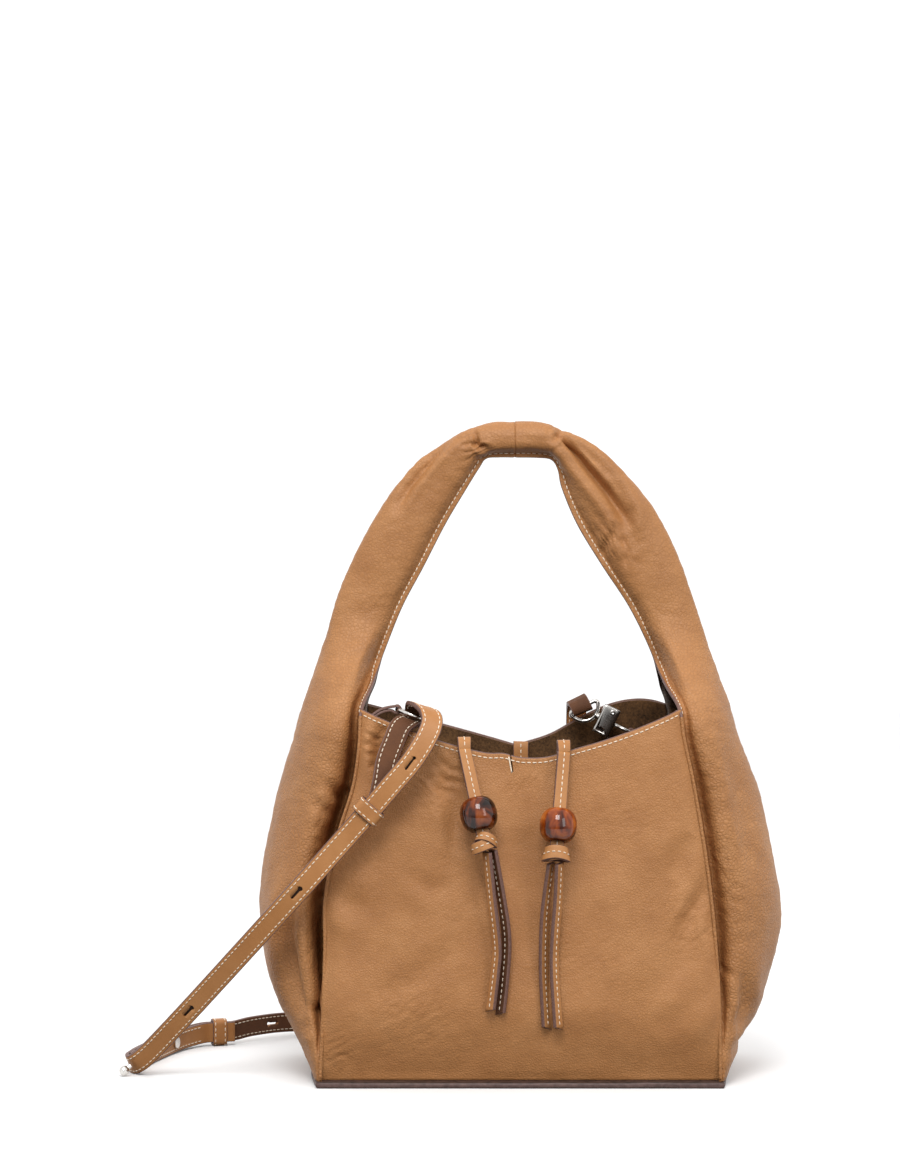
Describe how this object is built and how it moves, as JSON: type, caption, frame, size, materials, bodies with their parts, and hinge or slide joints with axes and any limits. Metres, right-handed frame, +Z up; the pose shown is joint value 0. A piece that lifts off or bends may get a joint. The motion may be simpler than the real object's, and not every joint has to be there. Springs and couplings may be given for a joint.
{
  "type": "bucket bag",
  "caption": "Slouchy leather bucket bag with an arched handle, a beaded drawstring tie over the front rim, and a thin crossbody strap folded beside it.",
  "frame": {"origin": "middle of the underside of the base, where the bag stands", "axes": "+Z up, front panel with the beads towards -Y, +X to the right seen from the front"},
  "size_m": [0.3806, 0.2088, 0.3772],
  "materials": {
    "tan_leather": "satin pebbled",
    "suede_lining": "matte suede",
    "strap_leather": "satin smooth",
    "nickel": "polished",
    "tortoise": "gloss"
  },
  "bodies": {
    "bag": {"base_panel": "tan_leather", "front_panel": "tan_leather", "back_panel": "tan_leather", "gusset_left": "tan_leather", "gusset_right": "tan_leather", "front_rim_facing": "suede_lining", "back_rim_facing": "suede_lining", "tie_inner_run": "strap_leather", "tie_hump_left": "strap_leather", "tie_hump_right": "strap_leather", "back_tab": "strap_leather", "ring_tab_left": "strap_leather", "ring_tab_right": "strap_leather", "strap_outer": "strap_leather", "strap_inner": "strap_leather", "ring_left": "nickel", "ring_right": "nickel", "hook_eye": "nickel", "stud_fold": "nickel", "stud_return": "nickel", "stud_screw": "nickel"},
    "handle": {"handle_left": "tan_leather", "handle_right": "tan_leather"},
    "tie_left": {"tie_strip_left": "strap_leather", "knot_left": "strap_leather", "tail_left_front": "strap_leather", "tail_left_back": "strap_leather"},
    "tie_right": {"tie_strip_right": "strap_leather", "knot_right": "strap_leather", "tail_right_front": "strap_leather", "tail_right_back": "strap_leather"},
    "bead_left": {"bead_left": "tortoise"},
    "bead_right": {"bead_right": "tortoise"},
    "keeper_upper": {"keeper_upper": "strap_leather"},
    "keeper_lower": {"keeper_lower": "strap_leather"},
    "hook": {"hook_body": "nickel", "hook_rivet": "nickel"},
    "hook_gate": {"hook_gate": "nickel"}
  },
  "joints": [
    {"name": "handle_fold", "type": "hinge", "parent": "bag", "child": "handle", "pos_m": [0, 0, 0.262], "axis": [1, 0, 0], "range_deg": [-75, 75]},
    {"name": "tie_left_swing", "type": "hinge", "parent": "bag", "child": "tie_left", "pos_m": [-0.0315, -0.0568, 0.18984], "axis": [-1, 0, 0], "range_deg": [0, 60]},
    {"name": "bead_left_slide", "type": "slide", "parent": "tie_left", "child": "bead_left", "axis": [-0.2084, 0.3079, 0.9283], "range_m": [0, 0.008]},
    {"name": "tie_right_swing", "type": "hinge", "parent": "bag", "child": "tie_right", "pos_m": [0.0245, -0.0568, 0.1881], "axis": [-1, 0, 0], "range_deg": [0, 60]},
    {"name": "bead_right_slide", "type": "slide", "parent": "tie_right", "child": "bead_right", "axis": [0.0868, 0.2899, 0.9531], "range_m": [0, 0.008]},
    {"name": "keeper_upper_slide", "type": "slide", "parent": "bag", "child": "keeper_upper", "axis": [-0.6636, 0.0168, -0.7479], "range_m": [-0.001, 0.03]},
    {"name": "keeper_lower_slide", "type": "slide", "parent": "bag", "child": "keeper_lower", "axis": [0.9549, 0.2971, 0], "range_m": [-0.003, 0.003]},
    {"name": "hook_swivel", "type": "hinge", "parent": "bag", "child": "hook", "pos_m": [0.0537, 0.035, 0.201], "axis": [0.9, 0, -0.436], "range_deg": [-15, 15]},
    {"name": "hook_gate_press", "type": "hinge", "parent": "hook", "child": "hook_gate", "pos_m": [0.05902, 0.035, 0.20442], "axis": [0, 1, 0], "range_deg": [0, 11], "stiffness_Nm_per_rad": 0.01}
  ]
}
